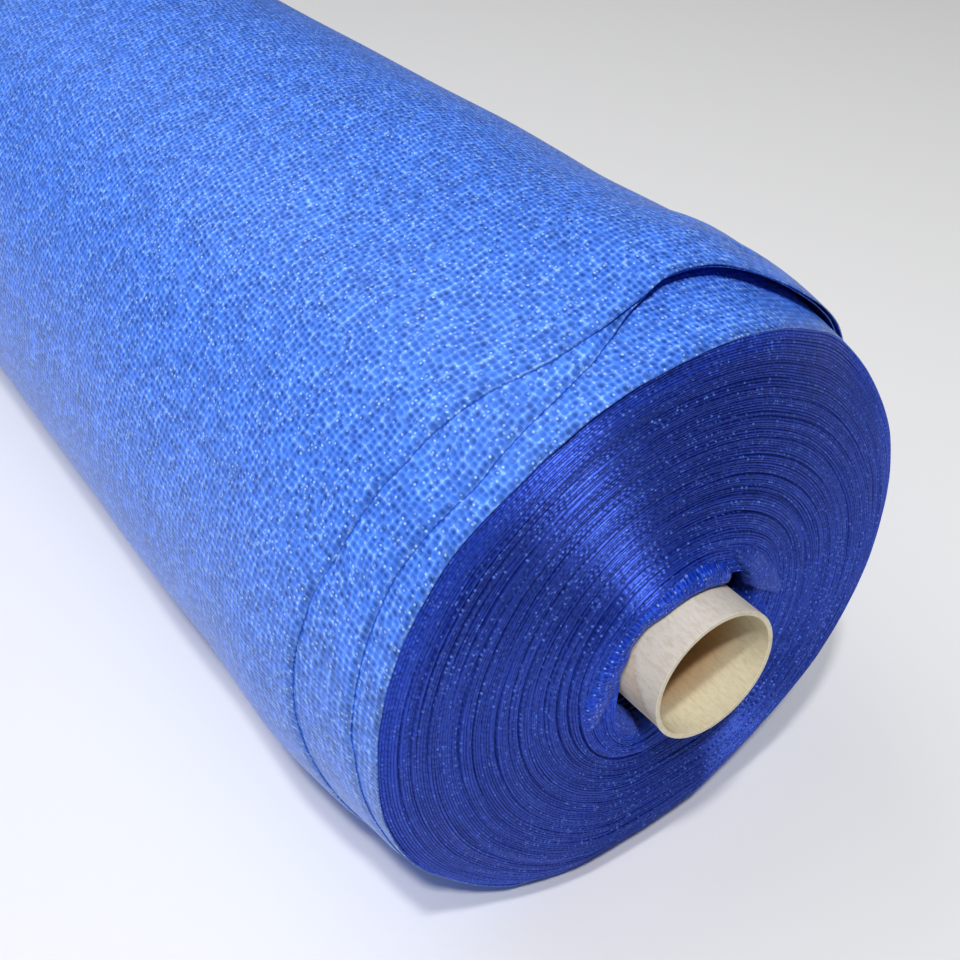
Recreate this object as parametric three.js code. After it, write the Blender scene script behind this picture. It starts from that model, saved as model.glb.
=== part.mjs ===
// Roll of knitted shade netting wound on a cardboard core and lying on its side.
// Millimetres, +Z up, the roll's axis along X, the end with the stepped selvedges towards +X.
// A place on the roll is given by three numbers: its radius from the axis, its angle round the axis
// from straight up towards -Y, and its setback, the distance from the core's +X end towards -X.
import * as THREE from "three";
import { mergeVertices } from "three/addons/utils/BufferGeometryUtils.js";

// Core tube
const CORE_LENGTH = 1880;
const CORE_RADIUS = 27.4;
const CORE_BORE_RADIUS = 25.4;
const CORE_EDGE_ROUND = 0.4;
const CORE_SEGMENTS = 64;

// Wound netting
const ROLL_RADIUS = 133.9;
const LAYER = 1.08;
const BORE_CLEARANCE = 0.35;
const FLAT_DEPTH = 5.2;
const ROLL_SEGMENTS = 96;
const FAR_SETBACK = 1850;

// Cut end of the outer turn, a low step low down on the back of the roll
const CUT_END_ANGLE = 243;
const CUT_END_STEP = 2.1;

// The end face at +X, flat near the core and doming back from there to the third selvedge
const FACE_SETBACK = 18.7;
const DOME_START_RADIUS = 62;
const THIRD_SELVEDGE_RADIUS = ROLL_RADIUS - 3 * LAYER;

// The wall narrows towards that end between these setbacks
const NARROWING = { start: 100, end: 16 };

// Setbacks of the three outermost selvedges at that end and depth of the narrowing, for each angle
const SELVEDGES = [
  { angle: 0, outer: 51, second: 48.5, third: 20, narrowing: 3.5 },
  { angle: 12, outer: 47.5, second: 39.5, third: 21, narrowing: 3 },
  { angle: 24, outer: 48.5, second: 30, third: 19, narrowing: 3 },
  { angle: 38, outer: 53, second: 31.5, third: 20, narrowing: 3 },
  { angle: 50, outer: 57.5, second: 34.5, third: 22.5, narrowing: 3 },
  { angle: 66, outer: 62.5, second: 36.5, third: 23, narrowing: 3.5 },
  { angle: 80, outer: 67, second: 36, third: 23, narrowing: 4 },
  { angle: 95, outer: 67, second: 36, third: 26, narrowing: 5.5 },
  { angle: 112, outer: 66, second: 44, third: 30, narrowing: 5.5 },
  { angle: 130, outer: 64, second: 50, third: 34, narrowing: 5 },
  { angle: 155, outer: 61, second: 50, third: 37, narrowing: 5 },
  { angle: 190, outer: 60, second: 49, third: 39, narrowing: 5 },
  { angle: 230, outer: 60, second: 49, third: 38, narrowing: 4.5 },
  { angle: 270, outer: 57, second: 48, third: 35, narrowing: 4 },
  { angle: 292, outer: 54, second: 47, third: 35, narrowing: 5 },
  { angle: 315, outer: 48, second: 42, third: 36, narrowing: 7.5 },
  { angle: 334, outer: 42, second: 39, third: 27, narrowing: 7.5 },
  { angle: 344, outer: 55.7, second: 53, third: 18, narrowing: 5 },
  { angle: 352, outer: 54, second: 51.6, third: 17, narrowing: 4 },
];

// Patch of the outer turn that has come loose and stands off the roll
const LOOSE_PATCH = { angle: 335, halfAngle: 38, setback: 60, reach: 80, lift: 4.2 };

// Bunched cloth beside the core: hollows where the first turns stand off it, each with a raised fold
const BUNCHES = [
  { angle: 143, halfAngle: 38, hollowDepth: 16, hollowWidth: 11, foldRise: 5, foldRadius: 42 },
  { angle: 281, halfAngle: 26, hollowDepth: 14, hollowWidth: 9, foldRise: 5, foldRadius: 40 },
];
const FOLD_HALF_WIDTH = 11;

// Rings of the near face, from the core outwards
const FACE_RADII = [31, 34.5, 38.5, 43, 49, 58, 68, 79, 90, 100, 109, 117, 123, 127.5];
// Rings along the wall, which swells and slackens a little as a wound roll does
const WALL = [
  { setback: 82, swell: 0 },
  { setback: 104, swell: 0.3 },
  { setback: 125, swell: 0 },
  { setback: 165, swell: -0.9 },
  { setback: 200, swell: 0.2 },
  { setback: 235, swell: 0.9 },
  { setback: 270, swell: 0.5 },
  { setback: 340, swell: -0.1 },
  { setback: 500, swell: 0 },
  { setback: 940, swell: 0.5 },
  { setback: 1380, swell: -0.3 },
  { setback: 1640, swell: 0.2 },
  { setback: 1790, swell: 0 },
  { setback: 1822, swell: -0.8 },
];
// Rings of the far face, from the shoulder to the core
const FAR_FACE = [
  { radius: 130.5, setback: 1838 },
  { radius: 124.5, setback: 1846 },
  { radius: 110, setback: 1850 },
  { radius: 73, setback: 1849 },
  { radius: 41, setback: 1850 },
];
// The far face leans a little and its shoulder is as uneven as a wound end is
const FAR_LEAN = 3;
const FAR_LEAN_ANGLE = 323;

const boreRadius = CORE_RADIUS + BORE_CLEARANCE;
const flatHeight = ROLL_RADIUS - FLAT_DEPTH;

const nettingMaterial = new THREE.MeshStandardMaterial({ color: 0x2f55d8, roughness: 0.55, metalness: 0 });
const coreMaterial = new THREE.MeshStandardMaterial({ color: 0xcdbf9f, roughness: 0.9, metalness: 0 });

function degreesApart(a, b) {
  const difference = THREE.MathUtils.euclideanModulo(a - b + 180, 360) - 180;
  return Math.abs(difference);
}

// A smooth hump, 1 in the middle and 0 from the half width on
function hump(distance, halfWidth) {
  return 1 - THREE.MathUtils.smoothstep(distance, 0, halfWidth);
}

// A column of the selvedge table at any angle, eased between its rows
function selvedge(column, angle) {
  const turned = THREE.MathUtils.euclideanModulo(angle, 360);
  const next = SELVEDGES.findIndex((row) => row.angle > turned);
  const after = next < 0 ? SELVEDGES[0] : SELVEDGES[next];
  const before = next < 0 ? SELVEDGES.at(-1) : SELVEDGES[next - 1];
  const span = THREE.MathUtils.euclideanModulo(after.angle - before.angle, 360);
  const share = THREE.MathUtils.smoothstep(turned - before.angle, 0, span);
  return THREE.MathUtils.lerp(before[column], after[column], share);
}

// How far out a radius lies between the start of the dome and the third selvedge, 0 to 1
function domeShare(radius) {
  return Math.max(0, radius - DOME_START_RADIUS) / (THIRD_SELVEDGE_RADIUS - DOME_START_RADIUS);
}

// Hollows beside the core and the folds raised round them
function bunchSetback(radius, angle) {
  let setback = 0;
  for (const bunch of BUNCHES) {
    const round = hump(degreesApart(angle, bunch.angle), bunch.halfAngle);
    const hollow = hump(radius - boreRadius, bunch.hollowWidth);
    const fold = hump(Math.abs(radius - bunch.foldRadius), FOLD_HALF_WIDTH);
    setback += round * (bunch.hollowDepth * hollow - bunch.foldRise * fold);
  }
  return setback;
}

function faceSetback(radius, angle) {
  const drop = (selvedge("third", angle) - FACE_SETBACK) * domeShare(radius) ** 3;
  return FACE_SETBACK + drop + bunchSetback(radius, angle);
}

// A radius of the end face, drawn in where the wall has narrowed
function faceRadius(radius, angle) {
  const edge = turnRadius(3, selvedge("third", angle), angle);
  return radius - (THIRD_SELVEDGE_RADIUS - edge) * domeShare(radius);
}

// The outer turn's spiral: the wall grows by the step over one turn and drops back at the cut end
function spiralGrowth(angle) {
  const turned = THREE.MathUtils.euclideanModulo(CUT_END_ANGLE - angle, 360) / 360;
  return -CUT_END_STEP * turned;
}

function looseLift(setback, angle) {
  const round = hump(degreesApart(angle, LOOSE_PATCH.angle), LOOSE_PATCH.halfAngle);
  const along = hump(Math.max(0, setback - LOOSE_PATCH.setback), LOOSE_PATCH.reach);
  return LOOSE_PATCH.lift * round * along;
}

function narrowing(setback, angle) {
  const depth = selvedge("narrowing", angle);
  return depth * (1 - THREE.MathUtils.smoothstep(setback, NARROWING.end, NARROWING.start));
}

// Radius of the wound netting with a number of outer turns left off; only the two outermost are loose
function turnRadius(turnsOff, setback, angle) {
  const wound = ROLL_RADIUS + spiralGrowth(angle) - narrowing(setback, angle) - turnsOff * LAYER;
  return turnsOff < 2 ? wound + looseLift(setback, angle) * (1 - 0.3 * turnsOff) : wound;
}

// Each ring of the wound form gives its radius and setback at any angle
function windingRings() {
  const rings = [];
  rings.push((angle) => ({ radius: boreRadius, setback: faceSetback(boreRadius, angle) }));
  for (const radius of FACE_RADII) {
    rings.push((angle) => ({ radius: faceRadius(radius, angle), setback: faceSetback(radius, angle) }));
  }
  addSelvedgeStep(rings, "third", 3, 2);
  addSelvedgeStep(rings, "second", 2, 1);
  addSelvedgeStep(rings, "outer", 1, 0);
  for (const { setback, swell } of WALL) {
    rings.push((angle) => ({ radius: turnRadius(0, setback, angle) + swell, setback }));
  }
  for (const row of FAR_FACE) {
    rings.push((angle) => ({ radius: row.radius, setback: row.setback + farLean(row.radius, angle) }));
  }
  rings.push((angle) => ({ radius: boreRadius, setback: FAR_SETBACK + farLean(boreRadius, angle) }));
  return rings;
}

// Two rings at a selvedge: the turn beneath it, and its own outer side just behind its edge
function addSelvedgeStep(rings, column, turnsBeneath, turnsOwn) {
  const edgeWidth = 1.4;
  for (const [turns, back] of [[turnsBeneath, 0], [turnsOwn, edgeWidth]]) {
    rings.push((angle) => {
      const setback = selvedge(column, angle) + back;
      return { radius: turnRadius(turns, setback, angle), setback };
    });
  }
}

function farLean(radius, angle) {
  return FAR_LEAN * (radius / ROLL_RADIUS) * Math.cos(THREE.MathUtils.degToRad(angle - FAR_LEAN_ANGLE));
}

// The wound form starts as a lathed tube with one ring of vertices for each ring above, and every
// vertex is then moved to its ring's radius and setback at that vertex's own angle
function nettingRoll() {
  const rings = windingRings().reverse();
  const profile = rings.map((ring) => {
    const { radius, setback } = ring(0);
    return new THREE.Vector2(radius, -setback);
  });
  profile.push(profile[0].clone());
  rings.push(rings[0]);
  const geometry = new THREE.LatheGeometry(profile, ROLL_SEGMENTS);
  const position = geometry.getAttribute("position");
  for (let segment = 0; segment <= ROLL_SEGMENTS; segment += 1) {
    const angle = (360 * (segment % ROLL_SEGMENTS)) / ROLL_SEGMENTS;
    const radians = THREE.MathUtils.degToRad(angle);
    rings.forEach((ring, index) => {
      const { radius, setback } = ring(angle);
      const height = Math.max(radius * Math.cos(radians), -flatHeight);
      position.setXYZ(segment * rings.length + index, radius * Math.sin(radians), -setback, height);
    });
  }
  return new THREE.Mesh(layAlongX(geometry), nettingMaterial);
}

function coreTube() {
  const bevel = CORE_EDGE_ROUND;
  const profile = [
    new THREE.Vector2(CORE_BORE_RADIUS, -bevel),
    new THREE.Vector2(CORE_BORE_RADIUS + bevel, 0),
    new THREE.Vector2(CORE_RADIUS - bevel, 0),
    new THREE.Vector2(CORE_RADIUS, -bevel),
    new THREE.Vector2(CORE_RADIUS, bevel - CORE_LENGTH),
    new THREE.Vector2(CORE_RADIUS - bevel, -CORE_LENGTH),
    new THREE.Vector2(CORE_BORE_RADIUS + bevel, -CORE_LENGTH),
    new THREE.Vector2(CORE_BORE_RADIUS, bevel - CORE_LENGTH),
    new THREE.Vector2(CORE_BORE_RADIUS, -bevel),
  ];
  return new THREE.Mesh(layAlongX(new THREE.LatheGeometry(profile.reverse(), CORE_SEGMENTS)), coreMaterial);
}

// Turns a lathed shape's axis from +Y to +X and closes its seam
function layAlongX(geometry) {
  geometry.rotateZ(-Math.PI / 2);
  geometry.deleteAttribute("normal");
  geometry.deleteAttribute("uv");
  const closed = mergeVertices(geometry, 1e-4);
  closed.computeVertexNormals();
  return closed;
}

const netting = nettingRoll();
netting.name = "netting_roll";
const core = coreTube();
core.name = "core_tube";

const roll = new THREE.Group();
roll.add(netting, core);

// The origin is under the middle of the roll, on the surface it lies on
const bounds = new THREE.Box3().setFromObject(roll);
const centre = bounds.getCenter(new THREE.Vector3());
roll.position.set(-centre.x, -centre.y, -bounds.min.z);

export default roll;
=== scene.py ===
"""Roll of knitted shade netting on its cardboard core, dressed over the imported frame.

A place on the roll is given by its radius from the core's axis, its angle round the axis from straight
up towards -Y, and its setback, the distance from the core's +X end towards -X. Sizes are in millimetres
and degrees until a mesh is written, which is in metres.

The net is one cloth wound in a spiral. A place along it is given by its wind, the degrees wound back
from the cut end that lies outermost: the outer turn is wind 0 to 360, the next 360 to 720, and so on.
"""

from __future__ import annotations

import logging
import math
from collections.abc import Callable, Sequence
from dataclasses import dataclass
from enum import Enum
from typing import NamedTuple

import bmesh
import bpy
import numpy as np
from mathutils import Matrix, Vector

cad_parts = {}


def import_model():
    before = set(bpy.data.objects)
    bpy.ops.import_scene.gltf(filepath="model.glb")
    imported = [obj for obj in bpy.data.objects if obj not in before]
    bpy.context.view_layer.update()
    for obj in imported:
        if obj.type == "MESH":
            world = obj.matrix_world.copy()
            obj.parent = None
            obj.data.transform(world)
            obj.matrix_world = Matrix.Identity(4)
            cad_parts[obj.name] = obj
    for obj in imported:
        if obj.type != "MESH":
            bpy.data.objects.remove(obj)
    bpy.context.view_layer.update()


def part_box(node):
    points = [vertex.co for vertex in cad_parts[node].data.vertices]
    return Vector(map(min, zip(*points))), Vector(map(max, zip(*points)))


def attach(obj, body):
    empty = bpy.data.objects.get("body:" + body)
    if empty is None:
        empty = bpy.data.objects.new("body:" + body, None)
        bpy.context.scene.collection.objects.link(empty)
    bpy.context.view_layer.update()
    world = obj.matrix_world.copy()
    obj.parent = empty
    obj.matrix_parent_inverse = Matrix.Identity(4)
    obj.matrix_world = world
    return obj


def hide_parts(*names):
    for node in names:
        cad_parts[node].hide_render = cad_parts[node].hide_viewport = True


Array = np.ndarray
# Rows of place and value, and rows of height, wavelength and start
Curve = Sequence[tuple[float, float]]
Waves = Sequence[tuple[float, float, float]]
Layout = Callable[[Array, Array], tuple[Array, Array]]
Colour = tuple[float, float, float, float]

MM = 0.001
TURN = 360.0
# The wind of the outer turns that are laid as sheets; the rest shows only its edges
SHEETED = 3.0 * TURN
BODY = "root"
log = logging.getLogger("shade_netting_roll")


# ---------------------------------------------------------------- curves and unevenness


def smooth(value: Array, low: float, high: float) -> Array:
    """Eased step from 0 at low to 1 at high."""
    share = np.clip((value - low) / (high - low), 0.0, 1.0)
    return share * share * (3.0 - 2.0 * share)


def hump(distance: Array, half_width: float) -> Array:
    """Eased hump, 1 at no distance and 0 from the half width on."""
    return 1.0 - smooth(np.abs(distance), 0.0, half_width)


def degrees_apart(angle: Array, other: float) -> Array:
    """Signed difference of two angles, from -180 to 180."""
    return (angle - other + 180.0) % TURN - 180.0


def curve_through(rows: Curve, at: Array) -> Array:
    """Smooth curve through rows of (place, value) that never overshoots them.

    Args:
        rows: Places in rising order, each with its value.
        at: Places to read the curve at; beyond the rows it keeps the end values.

    Returns:
        The values at those places.
    """
    x, y = np.array(rows, float).T
    step, rise = np.diff(x), np.diff(y)
    slope = rise / step
    inner = np.zeros(len(x) - 2)
    same = slope[:-1] * slope[1:] > 0
    inner[same] = 2.0 * slope[:-1][same] * slope[1:][same] / (slope[:-1] + slope[1:])[same]
    tangent = np.concatenate([[slope[0]], inner, [slope[-1]]])
    at = np.clip(np.asarray(at, float), x[0], x[-1])
    i = np.clip(np.searchsorted(x, at, side="right") - 1, 0, len(step) - 1)
    t = (at - x[i]) / step[i]
    return (
        (1 + 2 * t) * (1 - t) ** 2 * y[i]
        + t * (1 - t) ** 2 * step[i] * tangent[i]
        + t * t * (3 - 2 * t) * y[i + 1]
        + t * t * (t - 1) * step[i] * tangent[i + 1]
    )


def curve_round(rows: Curve, angle: Array) -> Array:
    """The same curve for values that repeat every turn.

    Args:
        rows: Angles from 0 to 360 in rising order, each with its value.
        angle: Angles to read the curve at.

    Returns:
        The values at those angles.
    """
    before = [(a - TURN, v) for a, v in rows[-2:]]
    after = [(a + TURN, v) for a, v in rows[:2]]
    return curve_through([*before, *rows, *after], np.asarray(angle, float) % TURN)


@dataclass(frozen=True)
class Unevenness:
    """Seeded, smooth unevenness, as hand-fed cloth has it."""

    seed: int
    values: int = 8192
    # The lobes read their phase and their height further along the curve, and phases change slowly
    phase_step: float = 71.0
    height_step: float = 131.0
    phase_pace: float = 0.31

    def along(self, place: Array) -> Array:
        """Smooth random curve with a new value at every whole number.

        Args:
            place: Places to read the curve at.

        Returns:
            Values from -1 to 1.
        """
        table = np.random.default_rng(self.seed).uniform(-1.0, 1.0, self.values)
        whole = np.floor(place).astype(int)
        share = smooth(place - whole, 0.0, 1.0)
        return table[whole % self.values] * (1.0 - share) + table[(whole + 1) % self.values] * share

    def waves(self, place: Array, rows: Waves) -> Array:
        """Sum of such curves, from rows of height, wavelength and start."""
        return sum(height * self.along(place / length + start) for height, length, start in rows)

    def over(self, place: Array, angle: Array, lobes: int = 3) -> Array:
        """Smooth random surface, with a new value at every whole place and a few lobes round the roll.

        Args:
            place: Place along the other direction, such as the radius over a wavelength.
            angle: Angle round the roll in degrees.
            lobes: The most waves round the roll.

        Returns:
            Values of about -1 to 1.
        """
        total = self.along(place)
        for count in range(1, lobes + 1):
            phase = math.tau * self.along(place * self.phase_pace + self.phase_step * count)
            height = self.along(place + self.height_step * count)
            total = total + height * np.cos(np.radians(count * angle) + phase)
        return total / (1.0 + 0.6 * lobes)


# ---------------------------------------------------------------- the wound form


class Narrowing(NamedTuple):
    """How deep the wall is drawn in towards the near end at an angle, and the setback it starts at."""

    angle: float
    depth: float
    start: float


class Bump(NamedTuple):
    """A hump of the wall, or of the end face; one below zero height is a pucker."""

    angle: float
    # The setback of its middle on the wall, or the radius of its middle on the end face
    at: float
    half_angle: float
    half_width: float
    height: float

    def lift(self, angle: Array, at: Array) -> Array:
        """How far it lifts the cloth at each place."""
        round_it = self.height * hump(degrees_apart(angle, self.angle), self.half_angle)
        return round_it * hump(at - self.at, self.half_width)


class Groove(NamedTuple):
    """A stretch of a turn that lies deeper in the end face than those beside it."""

    radius: float
    angle: float
    half_angle: float
    depth: float

    def drop(self, angle: Array, radius: Array) -> Array:
        """How far it sets the face back at each place; it is about one layer wide on either side."""
        at_radius = self.depth * hump(radius - self.radius, 1.1)
        return at_radius * hump(degrees_apart(angle, self.angle), self.half_angle)


class Bunch(NamedTuple):
    """Cloth pushed away from the core: how far, over what angle, and how far it stands proud."""

    angle: float
    half_angle: float
    push: float
    rise: float
    reach: float


@dataclass(frozen=True)
class WoundForm:
    """Sizes of the wound roll and the place of every turn of it."""

    # The core's axis and its near end, in the part's frame
    axis_y: float
    axis_z: float
    near_end: float
    # The spiral: its outermost turn, one layer, the core's outside, the innermost turn and the cut end
    radius: float = 133.8
    layer: float = 1.08
    core_radius: float = 27.4
    first_turn_radius: float = 28.3
    cut_end_angle: float = 243.0
    # The near face inside its dome, the radius where the dome starts, and the far face
    face_setback: float = 18.7
    dome_start: float = 62.0
    far_setback: float = 1850.0
    # Setback at which the wall is drawn in fully
    narrowing_end: float = 16.0
    # Distance behind the selvedge over which a loose patch settles onto the turn below
    slack: tuple[float, float] = (6.0, 70.0)
    # Depth and width of the dip of a selvedge that lies close
    pressed_depth: float = 0.6
    pressed_width: float = 4.5
    # Radius and half width of the ring in which the bunches stand proud
    bunched_radius: float = 36.0
    bunched_half_width: float = 14.0
    # Wind and setback of the one selvedge over the three outer turns at the near end
    selvedge: Curve = (
        (0, 57), (30, 56), (63, 57), (95, 60), (113, 63), (134, 66), (146, 67.5), (154, 68.1),
        (162, 68.4), (170, 66.5), (177, 64.5), (184, 61.1), (191, 59.7), (199, 57.1), (206, 55.4),
        (213, 51.9), (219, 46.9), (225, 43.9), (232, 43.6), (236, 44.6), (242, 47.8), (247, 51.2),
        (252, 52.4), (256, 52), (261, 50.5), (267, 47.5), (273, 45.5), (279, 46.5), (288, 51), (298, 57),
        (308, 62), (320, 60), (338, 52), (360, 45), (399, 40), (433, 39.5), (453, 39.5), (462, 41.5),
        (473, 40), (494, 34.5), (508, 34.2), (515, 34.7), (520, 36.1), (532, 36.6), (545, 36.5),
        (549, 35.7), (554, 34.2), (559, 32.2), (564, 30.3), (571, 30.6), (578, 31.3), (582, 32.2),
        (586, 34.1), (590, 37.8), (595, 42.5), (600, 47.5), (606, 52.6), (615, 54), (624, 52),
        (634, 49.5), (645, 52), (658, 58), (668, 62), (680, 58), (700, 46), (720, 38.5), (759, 38),
        (793, 38), (813, 37), (826, 36), (838, 33), (851, 29), (868, 25), (880, 22), (895, 22.5),
        (913, 22.5), (922, 20.5), (930, 19), (948, 18), (957, 17.8), (968, 18.4), (979, 22), (989, 27),
        (999, 33), (1011, 37), (1031, 36), (1058, 36), (1080, 37),
    )
    # Angle and setback where the end face meets the third turn
    rim: Curve = (
        (0, 18.5), (12, 19), (24, 19), (38, 20), (50, 22.5), (66, 23), (80, 23), (95, 25.5), (112, 30),
        (130, 34.5), (143, 37), (155, 37.5), (188, 38), (208, 40.5), (224, 39), (236, 37), (262, 36),
        (287, 35.5), (300, 36), (312, 37), (324, 33), (334, 27), (344, 22), (352, 19.4),
    )
    narrowings: tuple[Narrowing, ...] = tuple(
        Narrowing(*row) for row in (
            (0, 4.5, 96), (24, 3.2, 98), (50, 3.2, 100), (66, 3.8, 100), (80, 5.0, 102), (95, 7.2, 106),
            (112, 8.8, 112), (130, 8.2, 102), (143, 5.4, 80), (155, 2.2, 62), (168, 0.6, 60),
            (180, 1.5, 60), (190, 4.8, 60), (204, 8.2, 60), (220, 8.8, 60), (236, 7.0, 60),
            (255, 4.7, 60), (270, 5.6, 60), (287, 7.4, 64), (300, 9.6, 74), (315, 10.2, 84),
            (334, 9.2, 92), (346, 6.4, 94),
        )
    )
    # Setback and swelling of the wall along the roll
    swelling: Curve = (
        (0, 0), (82, 0), (104, 0.3), (125, 0), (165, -0.9), (200, 0.2), (235, 0.9), (270, 0.5),
        (340, -0.1), (500, 0), (720, 0.4), (940, 0.5), (1160, 0), (1380, -0.3), (1640, 0.2),
        (1790, 0), (1822, -0.8), (1850, -3),
    )
    wall_bumps: tuple[Bump, ...] = (
        Bump(326, 101, 30, 17, 1.3), Bump(333, 71, 7, 8, -1.5), Bump(341, 78, 9, 9, 0.8),
        Bump(20, 120, 26, 40, 0.5), Bump(64, 230, 30, 60, 0.5),
    )
    core_bulge: Bump = Bump(angle=38, at=40, half_angle=95, half_width=18, height=3.2)
    # Wind and height of the loose patch of the two outer turns, at their selvedge
    loose_lift: Curve = (
        (0, 0.1), (150, 0.05), (222, 0.15), (232, 0.7), (240, 2.0), (248, 3.4), (256, 4.2), (267, 4.0),
        (277, 2.8), (288, 1.6), (298, 0.7), (310, 0.1), (345, 0.05), (500, 0.05), (583, 0.1),
        (592, 0.5), (600, 1.7), (608, 3.0), (616, 3.8), (627, 3.6), (637, 2.4), (648, 1.3),
        (658, 0.5), (670, 0.1), (720, 0.05),
    )
    bunches: tuple[Bunch, ...] = (
        Bunch(angle=146, half_angle=50, push=12.0, rise=2.0, reach=38.0),
        Bunch(angle=298, half_angle=40, push=9.0, rise=1.5, reach=34.0),
    )
    grooves: tuple[Groove, ...] = tuple(
        Groove(*row) for row in (
            (118.7, 62, 44, 1.8), (116.0, 66, 40, 1.2), (111.9, 60, 44, 1.7), (108.0, 70, 42, 1.3),
            (104.2, 52, 30, 1.2), (99.0, 84, 46, 1.6), (93.5, 75, 50, 2.0), (88.0, 40, 34, 1.2),
            (84.0, 96, 50, 1.8), (78.5, 62, 44, 1.3), (73.0, 92, 60, 1.8), (67.0, 50, 50, 1.4),
            (60.5, 75, 66, 2.2), (55.8, 96, 60, 1.8), (51.5, 70, 100, 2.4), (47.0, 88, 110, 2.4),
            (41.0, 40, 100, 1.8), (122.5, 88, 40, 1.4), (105.0, 318, 44, 1.5), (97.0, 326, 44, 1.6),
            (89.0, 318, 44, 1.6), (81.0, 330, 44, 1.6), (72.5, 322, 46, 1.7), (64.5, 328, 46, 1.7),
            (56.5, 322, 46, 1.8),
        )
    )

    @property
    def turns(self) -> float:
        """How many turns there are from the cut end to the core."""
        return (self.radius - self.first_turn_radius) / self.layer

    @property
    def face_rim_radius(self) -> float:
        """Radius of the third turn, whose selvedge is the rim of the end face."""
        return self.radius - 3.0 * self.layer

    def place(self, radius: Array, angle: Array, setback: Array) -> Array:
        """Places points; the turns are pressed closer together over the flat the roll lies on.

        Args:
            radius: Distance from the core's axis.
            angle: Angle round the axis.
            setback: Distance from the core's near end.

        Returns:
            Points in metres, in the part's frame.
        """
        turned = np.radians(angle)
        down = np.maximum(-np.cos(turned), 1e-6)
        room = (self.axis_z / down - self.core_radius) / (self.radius - self.core_radius)
        radius = self.core_radius + (radius - self.core_radius) * np.minimum(room, 1.0)
        height = np.maximum(radius * np.cos(turned), -self.axis_z)
        along, sideways = self.near_end - setback, self.axis_y - radius * np.sin(turned)
        return MM * np.stack([along, sideways, self.axis_z + height], axis=-1)

    def angle_of(self, wind: Array) -> Array:
        """Angle round the roll of a place along the cloth."""
        return self.cut_end_angle - wind

    def wound_radius(self, wind: Array) -> Array:
        """Radius of the spiral at a place along the cloth."""
        return self.radius - self.layer * wind / TURN

    def wound_length(self, wind: Array) -> Array:
        """Metres of cloth from the cut end."""
        mean = self.radius - 0.5 * self.layer * wind / TURN
        return MM * mean * np.radians(wind)

    def narrowing(self, setback: Array, angle: Array) -> Array:
        """How far the wall is drawn in towards the near end.

        Args:
            setback: Distance from the core's near end.
            angle: Angle round the roll.

        Returns:
            The depth at each place.
        """
        depth = curve_round([(row.angle, row.depth) for row in self.narrowings], angle)
        start = curve_round([(row.angle, row.start) for row in self.narrowings], angle)
        return depth * (1.0 - smooth(setback, self.narrowing_end, start))

    def lift(self, wind: Array) -> Array:
        """Height of the loose patch over the turn below; only the two outer turns have one."""
        return curve_through(self.loose_lift, wind) * (wind < 2.0 * TURN)

    def wall_radius(self, wind: Array, setback: Array, behind: Array) -> Array:
        """Radius of an outer turn, with its loose patch.

        Args:
            wind: Place along the cloth.
            setback: Distance from the core's near end.
            behind: Distance behind the cloth's own selvedge.

        Returns:
            The radius of the middle of the cloth.
        """
        slack = 1.0 - smooth(behind, *self.slack)
        angle = self.angle_of(wind)
        radius = self.wound_radius(wind) + curve_through(self.swelling, setback) + self.lift(wind) * slack
        for bump in self.wall_bumps:
            radius = radius + bump.lift(angle, setback)
        return radius - self.narrowing(setback, angle)

    def pressed(self, wind: Array, behind: Array) -> Array:
        """How far a selvedge that isn't loose dips onto the turn below it."""
        loose = smooth(curve_through(self.loose_lift, wind), 0.3, 1.2) * (wind < 2.0 * TURN)
        return self.pressed_depth * (1.0 - loose) * (1.0 - smooth(behind, 0.0, self.pressed_width))

    def loose_light(self, radius: Array) -> Array:
        """Share of painted light on loose turns' edges: most in the last turns by the rim and by the core.

        Args:
            radius: Distance from the core's axis.

        Returns:
            Values from 0 to 1.
        """
        by_rim = smooth(radius, 110.0, 128.0)
        by_core = 1.0 - smooth(radius, 34.0, 58.0)
        return np.maximum(by_rim, 0.7 * by_core)

    def dome_share(self, radius: Array) -> Array:
        """How far out a radius lies between the start of the dome and the third selvedge."""
        return np.clip((radius - self.dome_start) / (self.face_rim_radius - self.dome_start), 0.0, 1.2)

    def face_radius(self, radius: Array, angle: Array, setback: Array) -> Array:
        """A turn's radius at the end face, drawn in with the wall and pushed out round the bunches.

        Args:
            radius: The turn's radius in the evenly wound spiral.
            angle: Angle round the roll.
            setback: Distance from the core's near end.

        Returns:
            The radius at each place.
        """
        pushed = radius - self.narrowing(setback, angle) * self.dome_share(radius)
        for bunch in self.bunches:
            left = np.clip(1.0 - (radius - self.core_radius) / bunch.reach, 0.0, 1.0)
            round_it = hump(degrees_apart(angle, bunch.angle), bunch.half_angle)
            pushed = pushed + bunch.push * round_it * left**1.5
        return pushed

    def face_at(self, radius: Array, angle: Array) -> Array:
        """Setback of the end face, domed towards the rim and raised at the bunches.

        Args:
            radius: The turn's radius in the evenly wound spiral.
            angle: Angle round the roll.

        Returns:
            The setback at each place.
        """
        rim = curve_round(self.rim, angle)
        setback = self.face_setback + (rim - self.face_setback) * self.dome_share(radius) ** 3
        for bunch in self.bunches:
            risen = bunch.rise * hump(degrees_apart(angle, bunch.angle), bunch.half_angle)
            setback = setback - risen * hump(radius - self.bunched_radius, self.bunched_half_width)
        setback = setback - self.core_bulge.lift(angle, radius)
        for groove in self.grooves:
            setback = setback + groove.drop(angle, radius)
        return setback


# ---------------------------------------------------------------- colours and finishes


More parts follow.
